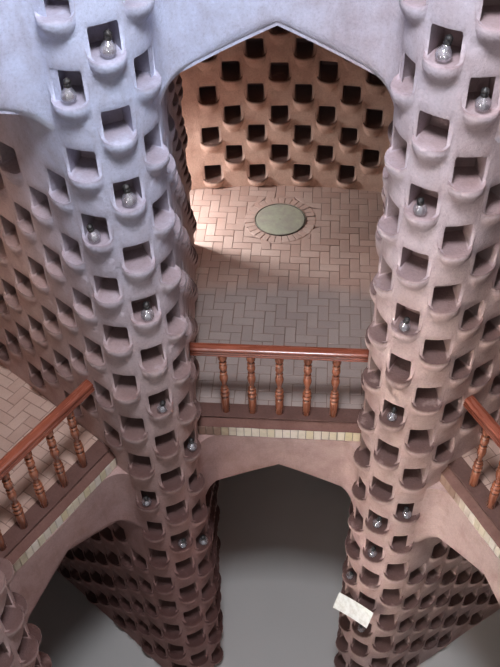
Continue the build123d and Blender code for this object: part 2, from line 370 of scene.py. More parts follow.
def floor_bricks(name, pale, dark, mortar):
    """Worn floor bricks, each of its own tone, with painted sky light making them greyer towards the
    rail.
    """
    board = new_board(name)
    worn = board.noise(5.0, 4.0)
    grit = board.noise(90.0, 3.0, 0.7)
    broad = board.noise(1.1, 2.0)
    tone = board.kept("tone") * 0.45 + (broad - 0.5) * 0.7 + worn * 0.5
    colour = board.mix(board.ramp(tone, 0.10, 0.90), dark, pale)
    # Painted sky light: a cool grey over the bricks near the rail, where the shaft's light falls
    grey = board.mix(0.58, colour, srgb(138, 136, 136))
    colour = board.mix(board.kept("edge") * board.ramp(worn, 0.0, 0.35), colour, grey)
    colour = board.mix(board.ramp(grit, 0.55, 0.75), colour, board.tinted(colour, 0.82, 0.79, 0.77))
    colour = board.mix(board.kept("mortar"), colour, mortar)
    normal = board.bump(worn * 0.5 + grit * 0.3, 0.4, 0.004)
    return board.finish(board.surface(colour, worn * 0.25 + 0.5, normal))


def edge_tiles(name, pale, smear):
    """Pale glazed tiles, partly smeared over with mud."""
    board = new_board(name)
    mottled = board.noise(24.0, 3.0)
    patch = board.noise(4.0, 3.0)
    colour = board.mix(board.kept("tone"), pale, srgb(220, 206, 168))
    colour = board.mix(board.ramp(mottled, 0.5, 0.8) * 0.4, colour, srgb(190, 176, 150))
    covered = board.ramp(board.kept("smear") + (patch - 0.5) * 0.9, 0.35, 0.65)
    colour = board.mix(covered, colour, smear)
    colour = board.mix(board.kept("mortar"), colour, srgb(120, 100, 84))
    normal = board.bump(mottled * 0.3 + covered * 0.6, 0.35, 0.003)
    return board.finish(board.surface(colour, covered * 0.4 + 0.35, normal))


def varnished_wood(name, base, coat):
    """Varnished wood with its grain along the piece, and painted shade in its grooves."""
    board = new_board(name)
    grain_place = board.kept("grain", "Vector")
    grain = board.noise(26.0, 4.0, 0.6, grain_place, (0.09, 1.0, 1.0))
    pores = board.noise(150.0, 2.0, 0.5, grain_place, (0.05, 1.0, 1.0))
    broad = board.noise(2.0, 2.0)
    dark = board.mix(1.0, base, (0.42, 0.32, 0.26, 1), "MULTIPLY")
    light = board.mix(1.0, base, (1.32, 1.24, 1.1, 1), "MULTIPLY")
    colour = board.mix(board.ramp(grain, 0.3, 0.7), dark, base)
    colour = board.mix(board.ramp(broad, 0.35, 0.7) * 0.6, colour, light)
    colour = board.mix(board.ramp(pores, 0.58, 0.72) * 0.5, colour, dark)
    # Painted shade in the grooves and cuts
    colour = board.mix(board.kept("groove") * 0.75, colour, srgb(44, 20, 12))
    normal = board.bump(pores * 0.4 + grain * 0.2, 0.12, 0.002)
    rough = board.ramp(grain, 0.0, 1.0) * 0.1 + 0.22
    return board.finish(board.surface(colour, rough, normal, Coat_Weight=coat, Coat_Roughness=0.08))


def cover_paint(name, base):
    """Dull green-grey paint on the cover, scuffed, with painted shade in the gap round its rim and in
    its lift hole.
    """
    board = new_board(name)
    scuff = board.noise(14.0, 5.0, 0.65)
    fine = board.noise(120.0, 2.0)
    colour = board.mix(board.ramp(scuff, 0.35, 0.7), base, srgb(168, 166, 142))
    colour = board.mix(board.ramp(fine, 0.6, 0.75) * 0.4, colour, srgb(104, 104, 88))
    # Painted shade: dark in the gap round the rim and in the lift hole
    colour = board.mix(board.kept("rim"), colour, srgb(62, 44, 36))
    normal = board.bump(scuff * 0.4 + fine * 0.2, 0.25, 0.002)
    return board.finish(board.surface(colour, scuff * 0.2 + 0.5, normal))


def bulb_glass(name):
    """Thin clear glass, slightly clouded by dust."""
    board = new_board(name)
    dust = board.noise(60.0, 3.0)
    colour = board.mix(board.ramp(dust, 0.4, 0.8), srgb(214, 212, 220), srgb(176, 168, 172))
    return board.finish(board.surface(colour, dust * 0.1 + 0.03, Alpha=0.5, Metallic=0.75))


def black_holder(name):
    """Black moulded lamp holder, dusty."""
    board = new_board(name)
    dust = board.noise(80.0, 3.0)
    colour = board.mix(board.ramp(dust, 0.5, 0.8), srgb(26, 24, 26), srgb(96, 88, 84))
    return board.finish(board.surface(colour, dust * 0.3 + 0.35, board.bump(dust, 0.2, 0.001)))


def blank_paper(name):
    """Blank pale paper, a little soiled."""
    board = new_board(name)
    soil = board.noise(20.0, 4.0)
    colour = board.mix(board.ramp(soil, 0.45, 0.8), srgb(238, 238, 234), srgb(206, 202, 192))
    return board.finish(board.surface(colour, soil * 0.2 + 0.6, board.bump(soil, 0.15, 0.001)))


def pale_floor(name):
    """The plain pale studio floor, evenly pale away from the tower's shadow."""
    board = new_board(name)
    soft = board.noise(0.7, 2.0)
    colour = board.mix(soft, srgb(196, 192, 188), srgb(206, 203, 200))
    ends = {0: board.place, 1: (0, -CENTRE_SHIFT, 0)}
    away = board.node("ShaderNodeVectorMath", {"operation": "DISTANCE"}, ends, "Value")
    matt = board.surface(colour, soft * 0.1 + 0.8)
    even = board.node("ShaderNodeEmission", {}, {"Color": srgb(206, 204, 202)})
    share = board.seen_plain() * board.ramp(away, 4.6, 8.5) * 0.85
    return board.finish(board.node("ShaderNodeMixShader", {}, {0: share, 1: matt, 2: even}))


def paint_all():
    """Makes every finish once, kept under the name of its slot."""
    group = bpy.context.scene.tower_colours
    picked = {key: tuple(getattr(group, key)) for key in TowerColours.__annotations__}
    pier = (picked["plaster_warm"], picked["plaster_cool"], picked["plaster_inside"])
    wall = (picked["wall_warm"], picked["wall_warm"], picked["plaster_inside"])
    kerb = (picked["kerb"], picked["kerb"], picked["kerb_joint"])
    pavers = (picked["brick"], picked["brick_dark"], picked["mortar"])
    MATERIALS.update(
        pier_plaster=plaster("Pier_plaster", *pier),
        arch_plaster=plaster("Arch_plaster", *pier, 0.6),
        wall_plaster=plaster("Wall_plaster", *wall),
        kerb_plaster=plaster("Kerb_plaster", *kerb, 0.5),
        floor_brick=floor_bricks("Floor_bricks", *pavers),
        ring_brick=floor_bricks("Ring_bricks", *pavers),
        edge_tile=edge_tiles("Edge_tiles", picked["tile"], picked["smear"]),
        rail_wood=varnished_wood("Rail_wood", picked["rail"], 0.6),
        turned_wood=varnished_wood("Turned_wood", picked["turned"], 0.7),
        cover_metal=cover_paint("Cover_paint", picked["cover"]),
        bulb_glass=bulb_glass("Bulb_glass"),
        lamp_holder=black_holder("Lamp_holder"),
        blank_label=blank_paper("Blank_label"),
    )


# Making pieces

def turned(points, axis_angle, level=0.0):
    """Points from a piece's own axis along +Y to their place in the part."""
    turn = radians(axis_angle - 90)
    points = np.asarray(points, dtype=float)
    out = np.empty_like(points)
    out[:, 0] = points[:, 0] * cos(turn) - points[:, 1] * sin(turn)
    out[:, 1] = points[:, 0] * sin(turn) + points[:, 1] * cos(turn) - CENTRE_SHIFT
    out[:, 2] = points[:, 2] + level
    return out


def half_width(y):
    """Half the width of a bay at a distance out from the shaft's centre."""
    nose_x = NOSE_CENTRE * sin(HALF_BAY)
    nose_y = NOSE_CENTRE * cos(HALF_BAY)
    return nose_x + (y - nose_y) * tan(FLANK_SLOPE) - NOSE_RADIUS / cos(FLANK_SLOPE)


def piece(name, points, faces, slot, nodes=(), kept=None, smooth=35.0):
    """A mesh piece of the part, with values kept on its points, that rides on the part."""
    mesh = bpy.data.meshes.new(name)
    mesh.from_pydata([tuple(point) for point in points], [], faces)
    for key, values in (kept or {}).items():
        values = np.asarray(values, dtype=float)
        kind, field = ("FLOAT_VECTOR", "vector") if values.ndim == 2 else ("FLOAT", "value")
        attribute = mesh.attributes.new(key, kind, "POINT")
        attribute.data.foreach_set(field, values.ravel())
    mesh.update()
    mesh.validate()
    mesh.shade_smooth()
    mesh.set_sharp_from_angle(angle=radians(smooth))
    thing = bpy.data.objects.new(name, mesh)
    bpy.context.scene.collection.objects.link(thing)
    mesh.materials.append(MATERIALS[slot])
    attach(thing, "root")
    if nodes:
        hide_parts(*nodes)


def dress_node(node, slot):
    """Gives a part whose shape is right its finish."""
    for material_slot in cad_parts[node].material_slots:
        material_slot.material = MATERIALS[slot]


class Batch:
    """Collects points, faces and kept values of many small solids for one piece."""

    def __init__(self, *keys):
        self.points = []
        self.faces = []
        self.kept = {key: [] for key in keys}

    def add(self, points, faces, **kept):
        """Adds a solid, each kept value given for the whole of it or for each point."""
        start = len(self.points)
        self.points.extend(points)
        self.faces.extend([tuple(start + index for index in face) for face in faces])
        for key, values in self.kept.items():
            value = kept.get(key, 0.0)
            values.extend(value if isinstance(value, list) else [value] * len(points))

    def join(self, other):
        """Takes in all that another batch holds."""
        self.add(other.points, other.faces, **other.kept)

    def placed(self, axis, level):
        """The batch with its points turned to a bay's axis and lifted to a level."""
        self.points = [tuple(point) for point in turned(self.points, axis, level)]
        return self

    def piece(self, name, slot, nodes=(), smooth=35.0):
        """Makes one piece of all that the batch holds."""
        piece(name, self.points, self.faces, slot, nodes, self.kept, smooth)


def lathed(profile, count):
    """Points and faces of a form turned about the upright axis, from its foot to its top."""
    points, faces = [], []
    for radius, height in profile:
        for step in range(count):
            lean = 2 * pi * step / count
            points.append((radius * cos(lean), radius * sin(lean), height))
    last = (len(profile) - 1) * count
    for ring in range(0, last, count):
        for step in range(count):
            a, b = ring + step, ring + (step + 1) % count
            faces.append((a, b, b + count, a + count))
    faces.append(tuple(range(count))[::-1])
    faces.append(tuple(range(last, last + count)))
    return points, faces


def strip_across(profile, waves_by=0.0, steps=24):
    """Points and faces of a closed profile of (y, z) run across a bay between its flanks."""
    points, faces = [], []
    count = len(profile)
    for step in range(steps + 1):
        share = step / steps * 2 - 1
        for y, z in profile:
            x = share * half_width(y)
            wave = waves_by * sin(9.0 * x + 40 * z) * sin(23.0 * x + 1.0)
            points.append((x, y + wave, z + wave * 0.5))
    for step in range(steps):
        for number in range(count):
            after = (number + 1) % count
            a, b = step * count + number, step * count + after
            faces.append((a, a + count, b + count, b))
    faces.append(tuple(range(count)))
    faces.append(tuple(range(steps * count, (steps + 1) * count))[::-1])
    return points, faces


# Niche-covered skins

# The upright lines across a niche's module, from its middle, drawn for a mouth of this width
SIDE_LINES = (-0.11875, -0.108, -0.088, -0.083, -0.043, 0.0, 0.043, 0.083, 0.088, 0.108, 0.11875)
MODULE_MOUTH_WIDE = 0.176
MIDDLE_LINE = len(SIDE_LINES) // 2
INNER_LINES = range(1, len(SIDE_LINES) - 1)

# The rows of a ledge: height against the mouth's sill, how far it has swelled to its full reach,
# and how much dust and painted shade lies on it
LEDGE_ROWS = (
    (-0.130, 0.06, 0.0), (-0.108, 0.30, 0.0), (-0.084, 0.58, 0.0), (-0.060, 0.82, 0.0),
    (-0.040, 0.94, 0.0), (-0.018, 1.00, 0.0), (-0.004, 0.965, 0.7), (0.002, 0.89, 1.0),
    (-0.002, 0.40, 1.0),
)
# How much a ledge's dusty rows rise at its middle lines and towards its two ends
RIM_LIFT = (0.0, 0.005, 0.018)
# The rows of a mouth: whether the height counts from its sill or its head, the height, the share
# of the niche's depth, and how far the mouth's edge lies behind the face
MOUTH_ROWS = (
    ("sill", 0.005, 1.0, 0.004), ("head", -0.018, 0.97, 0.004), ("head", 0.0, 0.0, 0.004),
    ("head", 0.012, 0.0, 0.0),
)
# How much the head's corners draw in, inside the niche and at its mouth, and how much they drop
INNER_CORNER_SHRINK = 0.010
MOUTH_CORNER_SHRINK = 0.004
CORNER_DROP = 0.003
# The plain rows between a mouth and the top of its module
PLAIN_ROWS = (0.150, 0.192)
# Points that lie deeper than this behind the face keep square to their niche
SQUARE_DEPTH = 0.02
# How much niches made by hand differ: factors of the width, height, reach and depth, then the
# sill's shift, the sideways slope of its rows, and the wobble of a ledge's points
NICHE_VARIES = {
    "wide": (0.93, 1.05), "high": (0.94, 1.05), "reach": (0.84, 1.16), "deep": (0.88, 1.0),
    "sill": (-0.007, 0.006), "lean": (-0.04, 0.04), "wobble": (-0.0022, 0.0022),
}
# How far a ledge reaches out in each place, as a share of its full reach
LEDGE_SHARES = {"nose": 1.0, "flank": 0.62, "wall": 0.9}
# Up to this angle between its faces, plaster is shaded smooth
PLASTER_SMOOTH = 58


def ledge_rows(low, wide, reach, lean, sizes, chance):
    """The rows of one ledge, swelling out under the sill, dished on top, and dusty and painted with
    shade there.
    """
    foot = acos((sizes.ledge_radius - sizes.ledge_proud) / sizes.ledge_radius)
    rows = []
    for rise, share, dust in LEDGE_ROWS:
        narrow = 1.0 if dust else 0.4 + 0.6 * share
        row = []
        for number in INNER_LINES:
            turn = foot * (number - MIDDLE_LINE) / (MIDDLE_LINE - 1)
            x = SIDE_LINES[-2] * wide * narrow * sin(turn) / sin(foot)
            out = reach * share * (cos(turn) - cos(foot)) / (1 - cos(foot))
            stands_out = out > 0.001
            wobble = chance.uniform(*NICHE_VARIES["wobble"]) if stands_out else 0.0
            z = low + (rise if stands_out or not dust else 0.002 + 0.001 * dust)
            if dust:
                z += RIM_LIFT[max(0, abs(number - MIDDLE_LINE) - 2)]
            row.append((x, z + lean * x + wobble, out + wobble, 0.0, dust))
        rows.append(row)
    return rows


def mouth_rows(low, high, wide, deep, lean):
    """The rows of one mouth, with its hollow behind them."""
    rows = []
    for base, rise, share, behind in MOUTH_ROWS:
        row = []
        for number in INNER_LINES:
            x = SIDE_LINES[number]
            z = low + rise + (high if base == "head" else 0.0) + lean * x
            place, out, recess, dust = x * wide, 0.0, 0.0, 0.0
            spread = abs(number - MIDDLE_LINE)
            if spread <= MIDDLE_LINE - 3:
                out, recess = -deep * share - behind, share
                dust = float(base == "sill")
                if spread == MIDDLE_LINE - 3 and base == "head":
                    place -= copysign(INNER_CORNER_SHRINK, x)
            elif spread == MIDDLE_LINE - 2:
                out, recess = -behind, 0.35
                if base == "head" and behind:
                    z -= CORNER_DROP
                    place -= copysign(MOUTH_CORNER_SHRINK, x) * (rise == 0.0)
            elif base == "sill":
                z += RIM_LIFT[-1] + 0.004
            row.append((place, z, out, recess, dust))
        rows.append(row)
    return rows


def niche_module(depth, reach_share, sizes, chance):
    """One niche's rows of points on its inner lines: side offset, height, out, recess and dust."""
    wide = sizes.niche_wide / MODULE_MOUTH_WIDE * chance.uniform(*NICHE_VARIES["wide"])
    high = sizes.niche_high * chance.uniform(*NICHE_VARIES["high"])
    low = -sizes.niche_high / 2 + chance.uniform(*NICHE_VARIES["sill"])
    reach = sizes.ledge_proud * reach_share * chance.uniform(*NICHE_VARIES["reach"])
    deep = depth * chance.uniform(*NICHE_VARIES["deep"])
    lean = chance.uniform(*NICHE_VARIES["lean"])
    rows = ledge_rows(low, wide, reach, lean, sizes, chance) + mouth_rows(low, high, wide, deep, lean)
    for z in PLAIN_ROWS:
        rows.append([(SIDE_LINES[number], z, 0.0, 0.0, 0.0) for number in INNER_LINES])
    return rows


def waves(along, z):
    """The slow unevenness of hand-laid plaster."""
    slow = 0.0065 * np.sin(2.7 * along + 1.3) * np.sin(1.9 * z + 0.4)
    quick = 0.003 * np.sin(7.1 * along + 2.2 * z) + 0.0025 * np.sin(5.3 * z - 3.1 * along)
    return slow + quick


def niche_skin(centres, niches, bottom, top, first_row, edges, face_place, chance):
    """Grid of a niche-covered face. Centres are column places along it, edges its two ends.

    Returns points, faces, kept values and the grid of point numbers (line by row)."""
    sizes = bpy.context.scene.tower_sizes
    first = ceil((bottom - first_row) / STEP + ROW_MARGIN)
    last = floor((top - first_row) / STEP - ROW_MARGIN)
    levels = [bottom] + [first_row + STEP * row for row in range(first, last + 1)] + [top]
    lines = [edges[0]]
    starts = []
    for column, centre in enumerate(centres):
        offsets = SIDE_LINES if niches.get(column) else (-COLUMN / 2, 0.0, COLUMN / 2)
        starts.append(len(lines))
        lines.extend(centre + offset for offset in offsets[:-1])
    lines += [centres[-1] + COLUMN / 2, edges[1]]
    along = np.repeat(np.array(lines)[:, None], len(levels), axis=1)
    height = np.repeat(np.array(levels)[None, :], len(lines), axis=0)
    out = waves(along, height)
    square = np.zeros_like(along)
    recess = np.zeros_like(along)
    dust = np.zeros_like(along)
    home = np.array(along)
    for column, places in niches.items():
        for row, depth, reach_share in places:
            base = row * (STEPS // 2) - STEPS // 2 - first + 1
            middle = first_row + row * COURSE
            module = niche_module(depth, reach_share, sizes, chance)
            for level, points in enumerate(module, base + 1):
                if level < 1 or level > len(levels) - 2:
                    continue
                for line, (x, z, proud, inside, dusty) in enumerate(points, starts[column] + 1):
                    along[line, level] = centres[column] + x
                    height[line, level] = min(max(middle + z, bottom), top)
                    out[line, level] += proud
                    recess[line, level] = inside
                    dust[line, level] = dusty
                    if proud < -SQUARE_DEPTH:
                        square[line, level] = 1.0
                        home[line, level] = centres[column]
    points = face_place(along, height, out, square, home)
    grid = np.arange(along.size).reshape(along.shape)
    corners = (grid[:-1, :-1], grid[1:, :-1], grid[1:, 1:], grid[:-1, 1:])
    faces = np.stack([corner.ravel() for corner in corners], axis=1).tolist()
    return points, faces, {"recess": recess.ravel(), "dust": dust.ravel()}, grid


def pier_place(along, height, out, square, home):
    """Places points of a pier's face: along its outline from the tip, up, and out."""
    def outline(distance):
        run = np.abs(distance)
        side = np.where(distance < 0, -1.0, 1.0)
        lean = np.minimum(run, NOSE_HALF_ARC) / NOSE_RADIUS
        past = np.maximum(run - NOSE_HALF_ARC, 0.0)
        x = NOSE_RADIUS * np.sin(lean) + past * sin(PIER_TURN)
        y = NOSE_CENTRE - NOSE_RADIUS * np.cos(lean) + past * cos(PIER_TURN)
        return x * side, y, np.sin(lean) * side, -np.cos(lean)
    x, y, out_x, out_y = outline(along)
    home_x, home_y, home_out_x, home_out_y = outline(home)
    offset = along - home
    square_x = home_x - home_out_y * offset + home_out_x * out
    square_y = home_y + home_out_x * offset + home_out_y * out
    place_x = np.where(square > 0, square_x, x + out_x * out)
    place_y = np.where(square > 0, square_y, y + out_y * out)
    return np.stack([place_x.ravel(), place_y.ravel(), height.ravel()], axis=1)


def wall_place(along, height, out, square, home):
    """Places points of the round wall's inner face: along its arc, up, and inward."""
    lean = along / WALL_INNER
    home_lean = home / WALL_INNER
    offset = along - home
    square_x = (WALL_INNER - out) * np.sin(home_lean) + offset * np.cos(home_lean)
    square_y = (WALL_INNER - out) * np.cos(home_lean) - offset * np.sin(home_lean)
    place_x = np.where(square > 0, square_x, (WALL_INNER - out) * np.sin(lean))
    place_y = np.where(square > 0, square_y, (WALL_INNER - out) * np.cos(lean))
    return np.stack([place_x.ravel(), place_y.ravel(), height.ravel()], axis=1)


def stitched(points, faces, kept, grid, back):
    """Closes a face grid into a solid through a plain back made of upright lines."""
    low_z, high_z = points[grid[0, 0]][2], points[grid[0, -1]][2]
    behind = [(x, y, z) for x, y in back for z in (low_z, high_z)]
    lows = [len(points) + 2 * number for number in range(len(back))]
    highs = [low + 1 for low in lows]
    for number in range(len(back) - 1):
        faces.append([lows[number], lows[number + 1], highs[number + 1], highs[number]])
    faces.append([lows[0], highs[0]] + grid[-1].tolist()[::-1])
    faces.append([highs[-1], lows[-1]] + grid[0].tolist())
    faces.append(grid[:, -1].tolist() + highs)
    faces.append((grid[:, 0].tolist() + lows)[::-1])
    kept = {key: np.concatenate([values, np.zeros(len(behind))]) for key, values in kept.items()}
    return np.vstack([points, np.array(behind)]), faces, kept


def pier_niches():
    """A pier's niches by column: row counted from the gallery, depth and share of the ledge."""
    sizes = bpy.context.scene.tower_sizes
    places = {}
    lowest = -int(GALLERY / COURSE)
    highest = int((TOP - GALLERY) / COURSE)
    for number, column in enumerate(range(-PIER_LAST_COLUMN, PIER_LAST_COLUMN + 1)):
        on_nose = abs(column) * COLUMN <= NOSE_HALF_ARC
        depth = sizes.nose_niche_deep if on_nose else sizes.niche_deep
        reach_share = LEDGE_SHARES["nose" if on_nose else "flank"]
        places[number] = []
        for row in range(lowest, highest + 1):
            middle = GALLERY + PIER_FIRST_ROW + row * COURSE
            staggered_out = (column + row) % 2 == 0
            off_the_pier = middle - COURSE < -FOOT_SLACK or middle + COURSE / 2 > TOP
            level = middle if middle < GALLERY - STOREY_CHANGE else middle - GALLERY
            head = level + sizes.niche_high / 2 + NICHE_HEADROOM
            under_the_arch = level >= COURSE / 2 and head <= ARCH_SPRING
            if not staggered_out and not off_the_pier and (on_nose or under_the_arch):
                places[number].append((row, depth, reach_share))
    return places


def flank_end():
    """Where a pier's outline meets the circle of the pier ends: how far along, and its lean."""
    side_x = NOSE_RADIUS * cos(PIER_TURN)
    side_y = NOSE_CENTRE - NOSE_RADIUS * sin(PIER_TURN)
    half = side_x * sin(PIER_TURN) + side_y * cos(PIER_TURN)
    rest = side_x * side_x + side_y * side_y - PIER_END * PIER_END
    run = sqrt(half * half - rest) - half
    lean = atan2(side_x + run * sin(PIER_TURN), side_y + run * cos(PIER_TURN))
    return NOSE_HALF_ARC + run, lean


def arc_points(radius, start, end, count):
    """Points along an arc about the shaft's centre, leans measured from the bay's axis."""
    leans = [start + (end - start) * step / count for step in range(count + 1)]
    return [(radius * sin(lean), radius * cos(lean)) for lean in leans]


class TOWER_OT_piers(bpy.types.Operator):
    """Dress the piers in hand-smoothed plaster with their niches and ledges"""

    bl_idname = "tower.piers"
    bl_label = "Piers"

    def execute(self, context):
        end_along, end_lean = flank_end()
        centres = [column * COLUMN for column in range(-PIER_LAST_COLUMN, PIER_LAST_COLUMN + 1)]
        back = arc_points(PIER_END, end_lean, -end_lean, 24)
        for name, axis in PIER_AXES.items():
            skin = niche_skin(
                centres, pier_niches(), 0.0, TOP, GALLERY + PIER_FIRST_ROW,
                (-end_along, end_along), pier_place, random.Random(name),
            )
            points, faces, kept = stitched(*skin, back)
            nodes = ["pier_" + name + "_" + level for level in LEVELS]
            skin_name = "pier_" + name + "_plastered"
            piece(skin_name, turned(points, axis), faces, "pier_plaster", nodes, kept, PLASTER_SMOOTH)
        return {"FINISHED"}


def wall_niches(centres):
    """The niches of the outer wall behind a bay, by column, for one storey."""
    sizes = bpy.context.scene.tower_sizes
    reach = half_width(FLANK_WALL_Y)
    places = {}
    for number, arc in enumerate(centres):
        if abs(arc) > reach - WALL_NICHE_MARGIN:
            continue
        column = round((arc - WALL_COLUMN_OFFSET) / COLUMN)
        arch_high = ARCH_SPRING + (ARCH_APEX - ARCH_SPRING) * (1 - abs(arc) / reach)
        places[number] = []
        for row in range(WALL_ROWS):
            head = WALL_FIRST_ROW + row * COURSE + sizes.niche_high / 2 + NICHE_HEADROOM
            if (column + row) % 2 == 0 and head <= arch_high:
                places[number].append((row, sizes.niche_deep, LEDGE_SHARES["wall"]))
    return places


class TOWER_OT_outer_walls(bpy.types.Operator):
    """Dress the round outer wall, with the niches behind each bay"""

    bl_idname = "tower.outer_walls"
    bl_label = "Outer walls"

    def execute(self, context):
        ends = {"left": (-HALF_BAY - WALL_OVERRUN, HALF_BAY), "centre": (-HALF_BAY, HALF_BAY)}
        ends["right"] = (-HALF_BAY, HALF_BAY + WALL_OVERRUN)
        for name, axis in BAY_AXES.items():
            low, high = ends[name]
            low_arc, high_arc = low * WALL_INNER, high * WALL_INNER
            margin = COLUMN / 2 + 0.01
            first = ceil((low_arc + margin - WALL_COLUMN_OFFSET) / COLUMN)
            last = floor((high_arc - margin - WALL_COLUMN_OFFSET) / COLUMN)
            centres = [WALL_COLUMN_OFFSET + column * COLUMN for column in range(first, last + 1)]
            back = arc_points(WALL_OUTER, high, low, 32)
            for storey, level in enumerate(LEVELS):
                skin = niche_skin(
                    centres, wall_niches(centres), 0.0, STOREY, WALL_FIRST_ROW,
                    (low_arc, high_arc), wall_place, random.Random(name + level),
                )
                points, faces, kept = stitched(*skin, back)
                faces = [face[::-1] for face in faces]
                node = "outer_wall_" + name + "_" + level
                points = turned(points, axis, storey * STOREY)
                piece(node + "_plastered", points, faces, "wall_plaster", [node], kept, PLASTER_SMOOTH)
        return {"FINISHED"}


# Arches

# The plastered rim over an arch's edge, from its underside to the spandrel's face: how far it
# lies behind the face, its rise over the arch's edge, and how much painted highlight it takes
RIM_ROWS = (
    (0.034, -0.004, 0.7), (0.026, 0.004, 1.0), (0.008, 0.026, 1.0), (0.002, 0.036, 0.5),
    (0.0, 0.046, 0.0),
)
UNDERSIDE_ROW = (SPANDREL_Y + 0.09, -0.004, 0.4)
SPANDREL_ROWS = 12
SPANDREL_START = 0.06
SPANDREL_BACK_Y = SPANDREL_Y + 0.02


def arch_outline(steps_shoulder=7, steps_long=14):
    """The pointed arch's edge from its right foot to its left foot, as (x, z) at the spandrel."""
    half = half_width(SPANDREL_Y)
    right = []
    for step in range(steps_shoulder + 1):
        lean = ARCH_SHOULDER_TURN * step / steps_shoulder
        x = half - ARCH_SHOULDER + ARCH_SHOULDER * cos(lean)
        right.append((x, ARCH_SPRING + ARCH_SHOULDER * sin(lean)))
    start_x, start_z = right[-1]
    tangent_x, tangent_z = -sin(ARCH_SHOULDER_TURN), cos(ARCH_SHOULDER_TURN)
    chord_x, chord_z = -start_x, ARCH_APEX - start_z
    across = tangent_x * chord_z - tangent_z * chord_x
    sway = atan2(across, tangent_x * chord_x + tangent_z * chord_z)
    for step in range(1, steps_long):
        share = step / steps_long
        reach = hypot(chord_x, chord_z) * sin(share * sway) / sin(sway)
        aim = atan2(chord_z, chord_x) - sway * (1 - share)
        right.append((start_x + reach * cos(aim), start_z + reach * sin(aim)))
    left = [(-x, z) for x, z in reversed(right)]
    return right + [(0.0, ARCH_APEX)] + left


def spandrel_face(x):
    """How far out the plastered spandrel stands at a side place, swept round into the noses."""
    nose_x, nose_y = NOSE_CENTRE * sin(HALF_BAY), NOSE_CENTRE * cos(HALF_BAY)
    sweep_y = SPANDREL_PLASTER_Y - SPANDREL_SWEEP
    reach = sqrt((NOSE_RADIUS + SPANDREL_SWEEP) ** 2 - (sweep_y - nose_y) ** 2)
    start = nose_x - reach
    meeting = nose_x - reach * NOSE_RADIUS / (NOSE_RADIUS + SPANDREL_SWEEP)
    if abs(x) <= start:
        return SPANDREL_PLASTER_Y
    if abs(x) <= meeting:
        return sweep_y + sqrt(SPANDREL_SWEEP ** 2 - (abs(x) - start) ** 2)
    return nose_y - sqrt(NOSE_RADIUS ** 2 - (nose_x - abs(x)) ** 2) + 0.004


class TOWER_OT_arches(bpy.types.Operator):
    """Plaster the arches' fronts, sweeping them into the pier noses, with a rounded rim painted with a
    pale highlight
    """

    bl_idname = "tower.arches"
    bl_label = "Arches"

    def execute(self, context):
        for name, axis in BAY_AXES.items():
            for storey, level in enumerate(LEVELS):
                points, faces, rim = self.spandrel(storey)
                points = turned(points, axis, storey * STOREY)
                spandrel = "spandrel_" + name + "_" + level
                piece(spandrel, points, faces, "arch_plaster", (), {"rim": rim}, PLASTER_SMOOTH)
        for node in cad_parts:
            if node.startswith(("arch_", "passage_heads")):
                dress_node(node, "arch_plaster")
        return {"FINISHED"}

    def spandrel(self, storey):
        """Points, faces and rim values of one spandrel, line by line along its arch.

        Only the upper storey's rims take the painted pale highlight."""
        outline = arch_outline()
        top = STOREY - KERB_HIGH - TILE_HIGH
        points, rim, faces = [], [], []
        for x, z in outline:
            face = spandrel_face(x)
            rows = [UNDERSIDE_ROW] + [(face + behind, rise, pale) for behind, rise, pale in RIM_ROWS]
            points += [(x, y, z + rise) for y, rise, pale in rows]
            rim += [pale * storey for y, rise, pale in rows]
            start = z + SPANDREL_START
            for row in range(SPANDREL_ROWS + 1):
                height = start + (top - start) * row / SPANDREL_ROWS
                swell = float(waves(np.array(x), np.array(height + storey * STOREY)))
                points.append((x, face - swell * 0.8, height))
                rim.append(0.0)
        deep = len(points) // len(outline)
        back = len(points)
        points += [(x, SPANDREL_BACK_Y, top) for x, z in outline]
        rim += [0.0] * len(outline)
        for line in range(len(outline) - 1):
            for row in range(deep - 1):
                a = line * deep + row
                faces.append((a, a + deep, a + deep + 1, a + 1))
            a = line * deep + deep - 1
            faces.append((a, a + deep, back + line + 1, back + line))
        return points, faces, rim


# Floors

# The rings of points in a slab: its foot, its sides' top and its top
SLAB_RINGS = 3

# The cover from the foot of its outer edge to its small lift hole: radius, height over the floor
# and how much painted shade lies there
COVER_PROFILE = (
    (0.2635, -0.05, 1.0), (0.2632, 0.009, 1.0), (0.2615, 0.012, 0.0), (0.259, 0.012, 0.3),
    (0.257, 0.004, 1.0), (0.252, 0.004, 1.0), (0.250, 0.008, 0.0), (0.15, 0.0085, 0.0),
    (0.06, 0.009, 0.0), (0.006, 0.009, 0.0), (0.004, 0.004, 1.0),
)


def clipped(polygon, a, b):
    """The part of a convex polygon on the left of the line from a to b."""
    out = []
    for number, point in enumerate(polygon):
        before = polygon[number - 1]
        side = (b[0] - a[0]) * (point[1] - a[1]) - (b[1] - a[1]) * (point[0] - a[0])
        last = (b[0] - a[0]) * (before[1] - a[1]) - (b[1] - a[1]) * (before[0] - a[0])
        if (side > 0) != (last > 0):
            share = last / (last - side)
            x = before[0] + (point[0] - before[0]) * share
            out.append((x, before[1] + (point[1] - before[1]) * share))
        if side > 0:
            out.append(point)
    return out


def inside_region(polygon, region):
    """A convex polygon cut to a convex region, both running anticlockwise."""
    for number, corner in enumerate(region):
        polygon = clipped(polygon, region[number - 1], corner)
        if len(polygon) < 3:
            return []
    return polygon


def area_of(polygon):
    """The area of a polygon."""
    total = 0.0
    for number, (x, y) in enumerate(polygon):
        last_x, last_y = polygon[number - 1]
        total += last_x * y - x * last_y
    return total / 2


